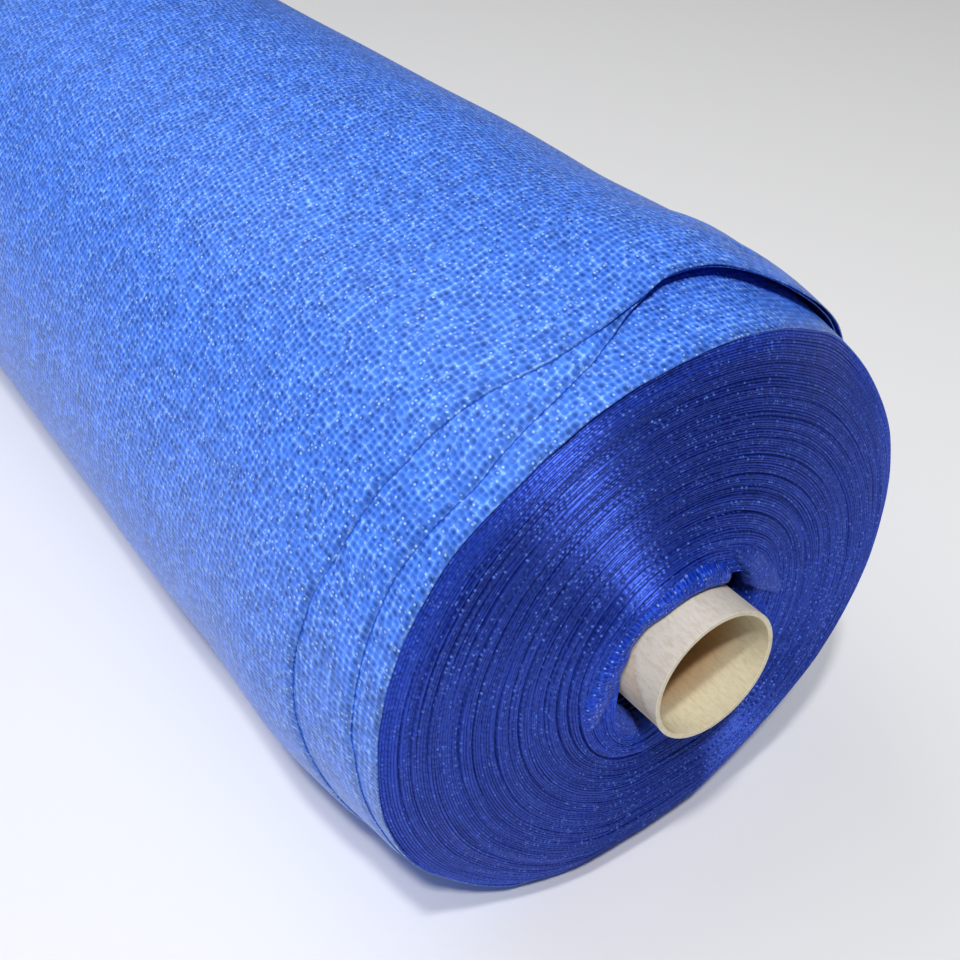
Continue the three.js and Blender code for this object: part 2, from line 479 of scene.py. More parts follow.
# Node types and settings that come again and again
MATH, RANGE, MIX = "ShaderNodeMath", "ShaderNodeMapRange", "ShaderNodeMix"
CELLS, NOISE, PRINCIPLED = "ShaderNodeTexVoronoi", "ShaderNodeTexNoise", "ShaderNodeBsdfPrincipled"
EASED = {"interpolation_type": "SMOOTHSTEP"}
PLANE_CELLS, PLANE_NOISE = {"voronoi_dimensions": "2D"}, {"noise_dimensions": "2D"}
TIMES = {"operation": "MULTIPLY"}
COLOURS, TINTED = {"data_type": "RGBA"}, {"data_type": "RGBA", "blend_type": "MULTIPLY"}
# Sockets of a Mix node that mixes colours: its two inputs and its output
FIRST, SECOND, MIXED = 6, 7, 2


def linear(colour: str) -> Colour:
    """Turns a colour linear.

    Args:
        colour: An sRGB hex colour such as "#1b3fd6".

    Returns:
        Its linear RGBA.
    """
    parts = [int(colour[i : i + 2], 16) / 255.0 for i in (1, 3, 5)]
    red, green, blue = (p / 12.92 if p <= 0.04045 else ((p + 0.055) / 1.055) ** 2.4 for p in parts)
    return (red, green, blue, 1.0)


def add_node(
    tree: bpy.types.NodeTree,
    kind: str,
    settings: dict[str, object] | None = None,
    inputs: dict[str | int, object] | None = None,
) -> bpy.types.Node:
    """Adds a node with its settings and its inputs.

    Args:
        tree: The material's node tree.
        kind: The node's type name.
        settings: Attributes of the node, such as an operation.
        inputs: Values for its inputs, or sockets to link to them.

    Returns:
        The new node.
    """
    node = tree.nodes.new(kind)
    for name, value in (settings or {}).items():
        setattr(node, name, value)
    for key, value in (inputs or {}).items():
        if isinstance(value, bpy.types.NodeSocket):
            tree.links.new(value, node.inputs[key])
        else:
            node.inputs[key].default_value = value
    return node


def new_material(name: str) -> tuple[bpy.types.Material, bpy.types.NodeTree, bpy.types.Node]:
    """Makes an empty material.

    Args:
        name: The material's name.

    Returns:
        The material, its tree and its output node.
    """
    material = bpy.data.materials.new(name)
    material.use_nodes = True
    tree = material.node_tree
    tree.nodes.clear()
    return material, tree, tree.nodes.new("ShaderNodeOutputMaterial")


@dataclass(frozen=True)
class Knit:
    """What the knit's pattern gives to its colour and its relief, each a socket with values 0 to 1."""

    thread: bpy.types.NodeSocket
    # Painted shade in the holes
    hole_shade: bpy.types.NodeSocket
    # Painted highlight on the knots
    lit_knot: bpy.types.NodeSocket
    # Painted glints: pale points painted into the colour
    painted_glint: bpy.types.NodeSocket
    # The stitch's own lightness, a little under or over 1
    pulled: bpy.types.NodeSocket


@dataclass(frozen=True)
class KnittedTape:
    """Raschel knit of flat polyethylene tape.

    The tape is smooth and slit from film and looks a little shiny. Its glints are painted into the colour as
    pale points, its knots are painted lighter as a painted highlight, and its small holes between the
    stitches are painted dark as painted shade. The cloth's UV map is in metres: U along its length and V
    from its selvedge. One hole lies between each two pillars of stitches and each two crossing tapes.
    """

    name: str
    tape: str = "#457df2"
    # Painted shade: the colour of the holes, where the layer below lies in shade
    hole_shade: str = "#20459e"
    # Painted highlight: the lighter colour of the knots
    lit_knot: str = "#8ebcff"
    # Painted glints: their pale colour, and the share of points that carry it
    painted_glint: str = "#b4daff"
    painted_glint_share: float = 0.22
    # Painted light: a paler tape colour where the edges of the turns stand loosely, as if light came
    # through them
    loose: str | None = None
    # Share by which the selvedge is darkened, partly for its closer knit and partly as painted shade at its
    # step
    selvedge: float = 0.0
    # Colour and share of the long highlights of stacked edges
    strand: str = "#6082ff"
    strand_share: float = 0.0
    pillar_pitch: float = 3.06
    stitch_pitch: float = 2.47
    relief: float = 0.18
    roughness: float = 0.38
    specular: float = 0.55
    ior: float = 1.5
    tint: str = "#b4dcff"

    def knit(self, tree: bpy.types.NodeTree, uv: bpy.types.NodeSocket) -> Knit:
        """Draws holes with painted shade, the tapes round them, knots with a painted highlight, painted
        glints.

        Args:
            tree: The material's node tree.
            uv: The cloth's UV map.

        Returns:
            The pattern's sockets.
        """
        # Hand-fed cloth: the lattice wanders by a third of a stitch over waves of 22 mm, 45 to the metre
        wander = add_node(tree, NOISE, PLANE_NOISE, {"Vector": uv, "Scale": 45.0, "Detail": 3.0})
        stitches = (1.0 / (self.stitch_pitch * MM), 1.0 / (self.pillar_pitch * MM), 1.0)
        lattice = add_node(tree, "ShaderNodeVectorMath", TIMES, {0: uv, 1: stitches})
        moved = add_node(tree, "ShaderNodeVectorMath", {"operation": "ADD"},
                         {0: lattice.outputs[0], 1: wander.outputs["Color"]})
        # One cell is one hole, with its tapes round it
        holes = add_node(tree, CELLS, PLANE_CELLS,
                         {"Vector": moved.outputs[0], "Scale": 1.0, "Randomness": 0.4})
        thread = add_node(tree, RANGE, EASED,
                          {"Value": holes.outputs["Distance"], "From Min": 0.08, "From Max": 0.5})
        own = add_node(tree, "ShaderNodeSeparateColor", None, {0: holes.outputs["Color"]})
        # Painted shade in each hole, deeper or lighter at random
        depth = add_node(tree, RANGE, None, {"Value": own.outputs[0], "To Min": 0.3, "To Max": 0.95})
        hole = add_node(tree, MATH, {"operation": "SUBTRACT"}, {0: 1.0, 1: thread.outputs[0]})
        shade = add_node(tree, MATH, TIMES, {0: hole.outputs[0], 1: depth.outputs[0]})
        # Painted glints: pale points of under a millimetre where short lengths of tape would lie turned
        # towards the light
        bright = add_node(tree, CELLS, PLANE_CELLS,
                          {"Vector": moved.outputs[0], "Scale": 1.5, "Randomness": 1.0})
        point = add_node(tree, RANGE, EASED,
                         {"Value": bright.outputs["Distance"], "From Min": 0.03, "From Max": 0.4,
                          "To Min": 1.0, "To Max": 0.0})
        chance = add_node(tree, "ShaderNodeSeparateColor", None, {0: bright.outputs["Color"]})
        chosen = add_node(tree, RANGE, None,
                          {"Value": chance.outputs[1], "From Min": 1.0 - 2.2 * self.painted_glint_share,
                           "From Max": 1.0})
        squared = add_node(tree, MATH, {"operation": "POWER"}, {0: chosen.outputs[0], 1: 1.6})
        painted_glint = add_node(tree, MATH, TIMES, {0: squared.outputs[0], 1: point.outputs[0]})
        # Painted highlight: the knots, where the tapes cross between four holes, stand up into the light,
        # so they are painted lighter
        crossing = add_node(tree, RANGE, EASED,
                            {"Value": holes.outputs["Distance"], "From Min": 0.42, "From Max": 0.72})
        stands = add_node(tree, RANGE, None, {"Value": chance.outputs[2], "To Min": 0.1, "To Max": 1.0})
        lit_knot = add_node(tree, MATH, TIMES, {0: crossing.outputs[0], 1: stands.outputs[0]})
        # Each stitch is pulled its own way, so it shows lighter or darker than the next
        pulled = add_node(tree, RANGE, None, {"Value": own.outputs[1], "To Min": 0.82, "To Max": 1.16})
        return Knit(thread.outputs[0], shade.outputs[0], lit_knot.outputs[0], painted_glint.outputs[0], pulled.outputs[0])

    def colour(self, tree: bpy.types.NodeTree, uv: bpy.types.NodeSocket, knit: Knit) -> bpy.types.NodeSocket:
        """Colours the tapes, knots with a painted highlight, holes with painted shade and the painted glints.

        Args:
            tree: The material's node tree.
            uv: The cloth's UV map.
            knit: The pattern's sockets.

        Returns:
            The colour's socket.
        """
        tape: Colour | bpy.types.NodeSocket = linear(self.tape)
        if self.loose is not None:
            # Painted light: the tape turns paler where the turns' edges stand loosely
            loose_light = add_node(tree, "ShaderNodeAttribute", {"attribute_name": "loose_light"})
            painted_paler = add_node(tree, MIX, COLOURS,
                             {"Factor": loose_light.outputs["Fac"], FIRST: tape, SECOND: linear(self.loose)})
            tape = painted_paler.outputs[MIXED]
        with_lit_knots = add_node(tree, MIX, COLOURS, {"Factor": knit.lit_knot, FIRST: tape, SECOND: linear(self.lit_knot)})
        tone = add_node(tree, MIX, COLOURS,
                        {"Factor": knit.hole_shade, FIRST: with_lit_knots.outputs[MIXED], SECOND: linear(self.hole_shade)})
        # Paler and deeper patches of a centimetre or two, 70 to the metre, where the layers below show
        cloud = add_node(tree, NOISE, PLANE_NOISE,
                         {"Vector": uv, "Scale": 70.0, "Detail": 4.0, "Roughness": 0.6})
        patch = add_node(tree, RANGE, None,
                         {"Value": cloud.outputs[0], "From Min": 0.3, "From Max": 0.7, "To Min": 0.86,
                          "To Max": 1.12})
        both = add_node(tree, MATH, TIMES, {0: patch.outputs[0], 1: knit.pulled})
        # The selvedge is darker over its last four millimetres, partly for its closer knit and partly as
        # painted shade at its step
        at = add_node(tree, "ShaderNodeSeparateXYZ", None, {0: uv})
        closer_and_shaded = add_node(tree, RANGE, EASED,
                          {"Value": at.outputs[1], "From Min": 0.6 * MM, "From Max": 4.8 * MM,
                           "To Min": 1.0 - self.selvedge, "To Max": 1.0})
        dense_and_shaded = add_node(tree, MATH, TIMES, {0: both.outputs[0], 1: closer_and_shaded.outputs[0]})
        cloudy = add_node(tree, MIX, TINTED,
                          {"Factor": 1.0, FIRST: tone.outputs[MIXED], SECOND: dense_and_shaded.outputs[0]})
        # The painted glints, pale points mixed into the colour
        lit = add_node(tree, MIX, COLOURS,
                       {"Factor": knit.painted_glint, FIRST: cloudy.outputs[MIXED], SECOND: linear(self.painted_glint)})
        return lit.outputs[MIXED]

    def build(self) -> bpy.types.Material:
        """Builds the material.

        Returns:
            The netting's material.
        """
        material, tree, output = new_material(self.name)
        uv = add_node(tree, "ShaderNodeUVMap", {"uv_map": "cloth"}).outputs[0]
        knit = self.knit(tree, uv)
        turned = add_node(tree, MATH, {"operation": "MULTIPLY_ADD"}, {0: knit.painted_glint, 1: 0.5, 2: knit.thread})
        bump = add_node(tree, "ShaderNodeBump", None,
                        {"Height": turned.outputs[0], "Distance": self.relief * MM, "Strength": 1.0})
        shader = add_node(tree, PRINCIPLED, None,
                          {"Base Color": self.colour(tree, uv, knit), "Roughness": self.roughness,
                           "Normal": bump.outputs[0], "Specular IOR Level": self.specular,
                           "Specular Tint": linear(self.tint), "IOR": self.ior})
        surface = shader.outputs[0]
        if self.strand_share > 0.0:
            # Stacked edges of glossy tape run round the roll and shine across their own length, like
            # combed thread, in a bright band towards the light and one opposite
            run = add_node(tree, "ShaderNodeTangent", {"direction_type": "UV_MAP", "uv_map": "cloth"})
            strands = add_node(tree, PRINCIPLED, None,
                               {"Base Color": linear(self.strand), "Metallic": 1.0, "Roughness": 0.56,
                                "Anisotropic": 0.88, "Anisotropic Rotation": 0.25,
                                "Normal": bump.outputs[0], "Tangent": run.outputs[0]})
            share = add_node(tree, RANGE, None,
                             {"Value": knit.thread, "To Min": 0.6 * self.strand_share,
                              "To Max": self.strand_share})
            mixed = add_node(tree, "ShaderNodeMixShader", None,
                             {0: share.outputs[0], 1: surface, 2: strands.outputs[0]})
            surface = mixed.outputs[0]
        tree.links.new(surface, output.inputs["Surface"])
        return material


# The cloth of the wall, seen flat: pale blue, with painted shade in its holes and a selvedge darkened
# partly by closer knit and partly by painted shade
WALL_NETTING = KnittedTape("knitted_polyethylene_tape", selvedge=0.3)
# The stacked edges of the turns: painted deep blue as shade for the light lost between them, with
# long highlights
SHADED_EDGE_NETTING = KnittedTape(
    "knitted_polyethylene_tape_edges_shaded", tape="#081768", hole_shade="#061052", lit_knot="#162e90", painted_glint="#6e9cff",
    painted_glint_share=0.26, loose="#163ab4", relief=0.08, specular=0.15, roughness=0.6, tint="#5a8cff",
    strand_share=0.39,
)
# Cloth bunched at the core, seen partly flat: painted with less shade than the edges, between the two
HALF_SHADED_BUNCHED_NETTING = KnittedTape(
    "knitted_polyethylene_tape_bunched_half_shaded", tape="#1438b4", hole_shade="#0a2078", lit_knot="#3868dc", painted_glint="#9cc4ff",
    painted_glint_share=0.28, specular=0.25, tint="#5a8cff", strand_share=0.15,
)
# Cloth deep inside the roll, painted dark blue as the shade between the turns
SHADED_INSIDE_NETTING = KnittedTape(
    "knitted_polyethylene_tape_inside_shaded", tape="#0c1d7a", hole_shade="#060d3c", painted_glint="#1c3fd0", specular=0.2,
)


@dataclass(frozen=True)
class Board:
    """Spiral-wound cardboard: unbleached board with short fibres and the seams of its plies.

    It is matte and grey-brown, with a mottle of fibres, and its lining is painted browner deeper in the
    bore, as painted shade.
    """

    name: str = "spiral_wound_board"
    outside: str = "#d6cec0"
    inside: str = "#d8cfb2"
    # Browner colour: painted shade deep in the bore, and the stretch past the outer ply's seam
    deeper: str = "#cba57a"
    fibre: str = "#a8976c"
    # Distance in metres from the middle over which the lining goes from painted shade deep in the bore to
    # its own colour, near either open end
    bore_shade: tuple[float, float] = (0.914, 0.931)

    def colour(self, tree: bpy.types.NodeTree, place: bpy.types.NodeSocket) -> bpy.types.NodeSocket:
        """Colours the outer ply and the lining.

        Args:
            tree: The material's node tree.
            place: Object coordinates.

        Returns:
            The colour's socket.
        """
        ply = add_node(tree, "ShaderNodeUVMap", {"uv_map": "board"})
        past_seam, lined = add_node(tree, "ShaderNodeSeparateXYZ", None, {0: ply.outputs[0]}).outputs[:2]
        along = add_node(tree, "ShaderNodeSeparateXYZ", None, {0: place})
        off_middle = add_node(tree, MATH, {"operation": "ABSOLUTE"}, {0: along.outputs[0]})
        bore_shade = add_node(tree, RANGE, EASED,
                         {"Value": off_middle.outputs[0], "From Min": self.bore_shade[0],
                          "From Max": self.bore_shade[1]})
        # Painted shade: the lining is browner and darker deeper in the bore
        lining = add_node(tree, MIX, COLOURS,
                          {"Factor": bore_shade.outputs[0], FIRST: linear(self.deeper),
                           SECOND: linear(self.inside)})
        # The outer ply is browner over a stretch just past its seam
        seam = add_node(tree, RANGE, EASED,
                        {"Value": past_seam, "From Min": 0.0, "From Max": 0.12, "To Min": 0.45,
                         "To Max": 0.0})
        browner_past_seam = add_node(tree, MIX, COLOURS,
                         {"Factor": seam.outputs[0], FIRST: linear(self.outside),
                          SECOND: linear(self.deeper)})
        face = add_node(tree, MIX, COLOURS,
                        {"Factor": lined, FIRST: browner_past_seam.outputs[MIXED], SECOND: lining.outputs[MIXED]})
        return face.outputs[MIXED]

    def build(self) -> bpy.types.Material:
        """Builds the material.

        Returns:
            The core's material.
        """
        material, tree, output = new_material(self.name)
        place = add_node(tree, "ShaderNodeTexCoord").outputs["Object"]
        # Fibres 4 mm long and 1.5 mm apart, drawn coarser than real ones so that they show
        stretched = add_node(tree, "ShaderNodeMapping", None,
                             {"Vector": place, "Scale": (260.0, 700.0, 700.0)})
        fibres = add_node(tree, NOISE, None,
                          {"Vector": stretched.outputs[0], "Scale": 1.0, "Detail": 4.0, "Roughness": 0.65})
        mottled = add_node(tree, RANGE, None,
                           {"Value": fibres.outputs[0], "From Min": 0.45, "From Max": 0.8, "To Min": 0.0,
                            "To Max": 0.5})
        tone = add_node(tree, MIX, COLOURS,
                        {"Factor": mottled.outputs[0], FIRST: self.colour(tree, place),
                         SECOND: linear(self.fibre)})
        # Paler and darker clouds of about 22 mm, 45 to the metre
        clouds = add_node(tree, NOISE, None, {"Vector": place, "Scale": 45.0, "Detail": 2.0})
        cloudy = add_node(tree, RANGE, None,
                          {"Value": clouds.outputs[0], "From Min": 0.3, "From Max": 0.7, "To Min": 0.9,
                           "To Max": 1.06})
        shown = add_node(tree, MIX, TINTED,
                         {"Factor": 1.0, FIRST: tone.outputs[MIXED], SECOND: cloudy.outputs[0]})
        bump = add_node(tree, "ShaderNodeBump", None,
                        {"Height": fibres.outputs[0], "Distance": 0.12 * MM, "Strength": 0.6})
        shader = add_node(tree, PRINCIPLED, None,
                          {"Base Color": shown.outputs[MIXED], "Roughness": 0.88, "IOR": 1.45,
                           "Normal": bump.outputs[0]})
        tree.links.new(shader.outputs[0], output.inputs["Surface"])
        return material


@dataclass(frozen=True)
class PaleFloor:
    """Plain pale studio floor, painted and matte, so it shows only a soft shadow."""

    name: str = "pale_floor"
    colour: str = "#ececec"

    def build(self) -> bpy.types.Material:
        """Builds the material.

        Returns:
            The floor's material.
        """
        material, tree, output = new_material(self.name)
        shader = add_node(tree, PRINCIPLED, None, {"Base Color": linear(self.colour), "Roughness": 0.9})
        tree.links.new(shader.outputs[0], output.inputs["Surface"])
        return material


# ---------------------------------------------------------------- meshes


def laid_grid(name: str, columns: int, rows: int, lay: Layout, uv_name: str = "cloth",
              close: bool = False) -> bpy.types.Object:
    """Lays a flat grid onto the roll.

    Args:
        name: The piece's name.
        columns: Segments along the first direction.
        rows: Segments along the second direction.
        lay: Gives the points in metres and the UVs for shares 0 to 1 of both directions.
        uv_name: Name of the UV map.
        close: Whether edges that meet are joined and the normals made outward.

    Returns:
        The finished object, at the origin.
    """
    grid = bmesh.new()
    bmesh.ops.create_grid(grid, x_segments=columns, y_segments=rows, size=0.5)
    mesh = bpy.data.meshes.new(name)
    grid.to_mesh(mesh)
    grid.free()
    count = len(mesh.vertices)
    flat = np.empty(count * 3, np.float32)
    mesh.vertices.foreach_get("co", flat)
    flat = flat.reshape(count, 3).astype(float)
    points, cloth = lay(flat[:, 0] + 0.5, flat[:, 1] + 0.5)
    mesh.vertices.foreach_set("co", points.astype(np.float32).ravel())
    corners = np.empty(len(mesh.loops), np.int32)
    mesh.loops.foreach_get("vertex_index", corners)
    layer = mesh.uv_layers.new(name=uv_name)
    layer.data.foreach_set("uv", cloth[corners].astype(np.float32).ravel())
    if close:
        shell = bmesh.new()
        shell.from_mesh(mesh)
        bmesh.ops.remove_doubles(shell, verts=shell.verts, dist=1e-6)
        bmesh.ops.recalc_face_normals(shell, faces=shell.faces)
        shell.to_mesh(mesh)
        shell.free()
    else:
        # Every lay runs clockwise seen from outside, so an open sheet is turned over to face outward
        mesh.flip_normals()
    mesh.polygons.foreach_set("use_smooth", np.ones(len(mesh.polygons), bool))
    mesh.update()
    piece = bpy.data.objects.new(name, mesh)
    bpy.context.collection.objects.link(piece)
    return piece


def dress(piece: bpy.types.Object, material: bpy.types.Material) -> None:
    """Gives a piece its material and slot, and lets it ride on the roll.

    Args:
        piece: The finished object.
        material: Its one material.
    """
    piece.data.materials.append(material)
    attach(piece, BODY)
    log.info("%s: %d faces", piece.name, len(piece.data.polygons))


def skewed(setback: Array) -> Array:
    """Metres by which the stitches lean round the roll: 5 degrees by the selvedge, 12 further in."""
    lean = curve_through(((0, 0.0), (60, 5.2), (150, 17.0), (400, 66.0), (1850, 330.0)), setback)
    return MM * lean


# ---------------------------------------------------------------- the netting


@dataclass
class LaidSheet:
    """A sheet of the netting that lies on the roll; each kind of sheet lays itself."""

    form: WoundForm
    name: str
    # Width and length of the cloth, flat, in metres
    flat: tuple[float, float]
    columns: int
    rows: int
    rests_on: tuple[str, ...]
    uneven: Unevenness
    thickness: float
    # Where the thickness goes: -1 all inwards, 0 half to either side
    side: float

    def lay(self, along: Array, across: Array) -> tuple[Array, Array]:
        """Gives the points and the UVs for shares 0 to 1 of both directions."""
        raise NotImplementedError

    def build(self, material: bpy.types.Material) -> bpy.types.Object:
        """Args:
            material: The netting it is made of.

        Returns:
            The finished object.
        """
        piece = laid_grid(self.name, self.columns, self.rows, self.lay)
        wall = piece.modifiers.new("thickness", "SOLIDIFY")
        wall.thickness = self.thickness * MM
        wall.offset = self.side
        dress(piece, material)
        return piece


@dataclass
class WallTurns(LaidSheet):
    """Outer turns of the roll, laid on its wall behind their selvedge."""

    thickness: float = 0.45
    side: float = -1.0
    # Height, length in degrees and start of the waves of the selvedge
    selvedge_waves: Waves = ()

    def selvedge(self, wind: Array) -> Array:
        """Setback of the selvedge, with its small waves."""
        return curve_through(self.form.selvedge, wind) + self.uneven.waves(wind, self.selvedge_waves)

    def spread(self, wind: Array, setback: Array, behind: Array) -> Array:
        """UVs of the cloth in metres, with the lean of its stitches."""
        return np.stack([-self.form.wound_length(wind) + skewed(setback), MM * behind], axis=-1)


@dataclass
class OuterTurn(WallTurns):
    """The outermost turn, over the whole length, with its stepped and lifted selvedge."""

    name: str = "outer_turn"
    columns: int = 330
    rows: int = 120
    flat: tuple[float, float] = (1.79, 0.84)
    rests_on: tuple[str, ...] = ("under_turns", "wound_mass")
    uneven: Unevenness = Unevenness(11)
    selvedge_waves: Waves = ((0.35, 4.0, 0.0), (0.5, 17.0, 40.0))
    curl_waves: Waves = ((0.05, 9.0, 300.0),)
    far_edge: float = 1834.0
    far_waves: Waves = ((2.0, 40.0, 90.0),)
    # Height and length along the roll of the wall's soft waves
    ripple: float = 0.35
    ripple_length: float = 70.0
    # Depth and setbacks of the rounding at the far end
    shoulder: float = 4.0
    shoulder_from: float = 1815.0
    shoulder_to: float = 1838.0

    def lay(self, along: Array, across: Array) -> tuple[Array, Array]:
        """Lays the turn.

        Args:
            along: Share from its inner end to the cut end.
            across: Share from the near selvedge to the far one.

        Returns:
            Points in metres and UVs.
        """
        form = self.form
        wind = TURN * (1.0 - along)
        angle = form.angle_of(wind)
        edge = self.selvedge(wind)
        far = self.far_edge + self.uneven.waves(wind, self.far_waves)
        # The rows stand closer together by the near selvedge
        setback = edge + (far - edge) * (0.12 * across + 0.88 * across**2.6)
        behind = setback - edge
        ripple = self.ripple * self.uneven.over(setback / self.ripple_length, angle) * smooth(behind, 10, 60)
        curl = self.uneven.waves(wind, self.curl_waves) * (1.0 - smooth(behind, 0, 6))
        curl = curl - form.pressed(wind, behind)
        shoulder = self.shoulder * smooth(setback, self.shoulder_from, self.shoulder_to)
        radius = form.wall_radius(wind, setback, behind) + ripple + curl - shoulder
        return form.place(radius, angle, setback), self.spread(wind, setback, behind)


@dataclass
class UnderTurns(WallTurns):
    """The second and third turns, seen between their selvedges and the one above."""

    name: str = "under_turns"
    columns: int = 620
    rows: int = 40
    flat: tuple[float, float] = (0.07, 1.67)
    rests_on: tuple[str, ...] = ("wound_mass",)
    uneven: Unevenness = Unevenness(23)
    selvedge_waves: Waves = ((0.3, 4.0, 0.0), (0.5, 17.0, 40.0))
    # Setback of the strip's hidden edge
    reach: float = 106.0

    def lay(self, along: Array, across: Array) -> tuple[Array, Array]:
        """Lays both turns as one strip of cloth behind their selvedge.

        Args:
            along: Share from the inner end of the third turn to the outer end of the second.
            across: Share from the selvedge to the hidden edge.

        Returns:
            Points in metres and UVs.
        """
        form = self.form
        wind = SHEETED - 2.0 * TURN * along
        edge = self.selvedge(wind)
        setback = edge + (self.reach - edge) * across**1.5
        behind = setback - edge
        # The third turn lies on the edges of the next ones, which hold it up
        pressed = form.pressed(wind, behind) * np.where(wind < 2.0 * TURN, 1.0, 0.4)
        radius = form.wall_radius(wind, setback, behind) - pressed
        return form.place(radius, form.angle_of(wind), setback), self.spread(wind, setback, behind)


class End(Enum):
    """The two ends of the roll."""

    NEAR = "near"
    FAR = "far"


@dataclass
class EndTurns:
    """The edges of the wound turns at one end: one strip that follows the spiral, folded over its edge."""

    form: WoundForm
    end: End
    name: str
    first_wind: float
    last_wind: float
    # Segments round each turn, and how deep the strip goes into the roll
    segments: int = 200
    depth: float = 10.0
    uneven: Unevenness = Unevenness(37)
    # Height, length in degrees and start of the waves of each turn's edge
    edge_waves: Waves = ((0.20, 48.0, 0.0), (0.12, 2.3, 17.0))
    # Height, length in turns, start and lobes of the waves that neighbouring turns share
    shared_waves: tuple[tuple[float, float, float, int], ...] = (
        (0.5, 1.5, 11.0, 6), (1.0, 3.9, 0.0, 5), (0.7, 7.3, 50.0, 3),
    )
    # Waves of the turns' radius: height, more height near the core, length in turns, start and lobes
    sway: tuple[float, float, float, float, int] = (0.42, 0.5, 2.7, 9.0, 6)
    # Slow waves that shift the stitches on the edge
    stitch_waves: Waves = ((2.4, 90.0, 500.0),)
    # The far end: how far its rim is rounded back and drawn in, and how much more uneven it is
    far_rounding: float = 11.0
    far_narrowing: float = 3.4
    far_unevenness: float = 1.6
    # Across the cloth's edge: layers from its middle and share of the depth behind its edge
    section: tuple[tuple[float, float], ...] = (
        (-0.5, 1.0), (-0.49, 0.052), (-0.36, 0.018), (-0.13, 0.002), (0.13, 0.002), (0.36, 0.018),
        (0.49, 0.052), (0.5, 1.0), (-0.5, 1.0),
    )

    def edge_setback(self, wind: Array, radius: Array, angle: Array) -> Array:
        """Setback of the turn's own edge from the face, with the unevenness of winding.

        Args:
            wind: Place along the cloth.
            radius: The turn's radius in the evenly wound spiral.
            angle: Angle round the roll.

        Returns:
            The setback from the face; the turns by the rim are held more evenly.
        """
        uneven = self.uneven.waves(wind, self.edge_waves)
        for height, length, start, lobes in self.shared_waves:
            uneven = uneven + height * self.uneven.over(wind / TURN / length + start, angle, lobes)
        calm = 0.45 + 0.55 * smooth(self.form.radius - radius, 3.0, 14.0)
        return uneven * calm + 0.5 * (1.0 - calm)

    def lay(self, along: Array, across: Array) -> tuple[Array, Array]:
        """Lays the strip.

        Args:
            along: Share along the spiral, inwards.
            across: Share over the edge of the cloth.

        Returns:
            Points in metres and UVs.
        """
        form = self.form
        wind = self.first_wind + (self.last_wind - self.first_wind) * along
        angle = form.angle_of(wind)
        nominal = form.wound_radius(wind)
        corner = np.rint(across * (len(self.section) - 1)).astype(int)
        offset, share = np.array(self.section)[corner].T
        edge = self.edge_setback(wind, nominal, angle)
        if self.end is End.NEAR:
            setback = form.face_at(nominal, angle) + edge + share * self.depth
            height, more, length, start, lobes = self.sway
            sway = height + more * (1.0 - smooth(nominal, 40.0, 62.0)) * smooth(nominal, 29.0, 34.0)
            radius = form.face_radius(nominal + offset * form.layer, angle, setback)
            radius = radius + sway * self.uneven.over(wind / TURN / length + start, angle, lobes)
        else:
            dome = form.dome_share(nominal) ** 5
            setback = form.far_setback - self.far_rounding * dome + self.far_unevenness * edge
            setback = setback - share * self.depth
            radius = nominal + offset * form.layer - self.far_narrowing * dome
        stretch = share * self.depth + self.uneven.waves(wind, self.stitch_waves)
        cloth = np.stack([-form.wound_length(wind), MM * stretch], axis=-1)
        return form.place(radius, angle, setback), cloth

    def build(self, material: bpy.types.Material) -> bpy.types.Object:
        """Builds and dresses the strip, and writes the share of painted light on its edges into an attribute.

        Args:
            material: The netting it is made of.

        Returns:
            The finished object.
        """
        count = int(self.segments * (self.last_wind - self.first_wind) / TURN)
        piece = laid_grid(self.name, count, len(self.section) - 1, self.lay, close=True)
        points = np.empty(len(piece.data.vertices) * 3, np.float32)
        piece.data.vertices.foreach_get("co", points)
        points = points.reshape(-1, 3) / MM
        radius = np.hypot(points[:, 1] - self.form.axis_y, points[:, 2] - self.form.axis_z)
        # The share of painted light that the edges' material reads
        loose = piece.data.attributes.new("loose_light", "FLOAT", "POINT")
        loose.data.foreach_set("value", self.form.loose_light(radius).astype(np.float32))
        dress(piece, material)
        return piece


class FoldRow(NamedTuple):
    """The fold at one angle: its rolled edge, and its foot where it meets the end face."""

    angle: float
    edge_radius: float
    edge_setback: float
    foot_radius: float
    foot_setback: float


# The cloth drawn up over the core's upper left side
COLLAR = tuple(FoldRow(*row) for row in (
    (-38, 30.0, 17.6, 34, 19.0), (-30, 28.4, 15.4, 36, 17.6), (-12, 27.8, 15.0, 38, 16.6),
    (7, 27.8, 14.8, 39, 15.8), (25, 27.8, 15.2, 39, 15.6), (45, 27.8, 18.0, 39, 15.6),
    (57, 27.8, 18.8, 39.5, 15.8), (70, 27.8, 17.6, 41, 16.4), (84, 28.0, 18.4, 44, 17.2),
    (93, 29.6, 18.2, 47, 17.8), (101, 33.5, 18.2, 48.5, 18.2), (108, 36.6, 18.6, 48.5, 18.8),
    (114, 40.0, 19.8, 48, 19.8), (120, 44.0, 23.0, 47.5, 23.5),
))
# The lobe below the dark gap at the core's lower left
LOWER_LOBE = tuple(FoldRow(*row) for row in (
    (96, 33.0, 24.0, 38, 25.0), (106, 31.8, 22.2, 43, 23), (118, 31.2, 20.6, 47, 21.8),
    (130, 31.0, 19.8, 49, 21.4), (142, 32.0, 19.6, 51, 21.2), (152, 35.6, 19.8, 53, 21.4),
    (161, 42.0, 20.4, 55.5, 22.0), (170, 49.0, 21.6, 57, 23.0), (180, 56.0, 24.0, 59, 25.0),
))
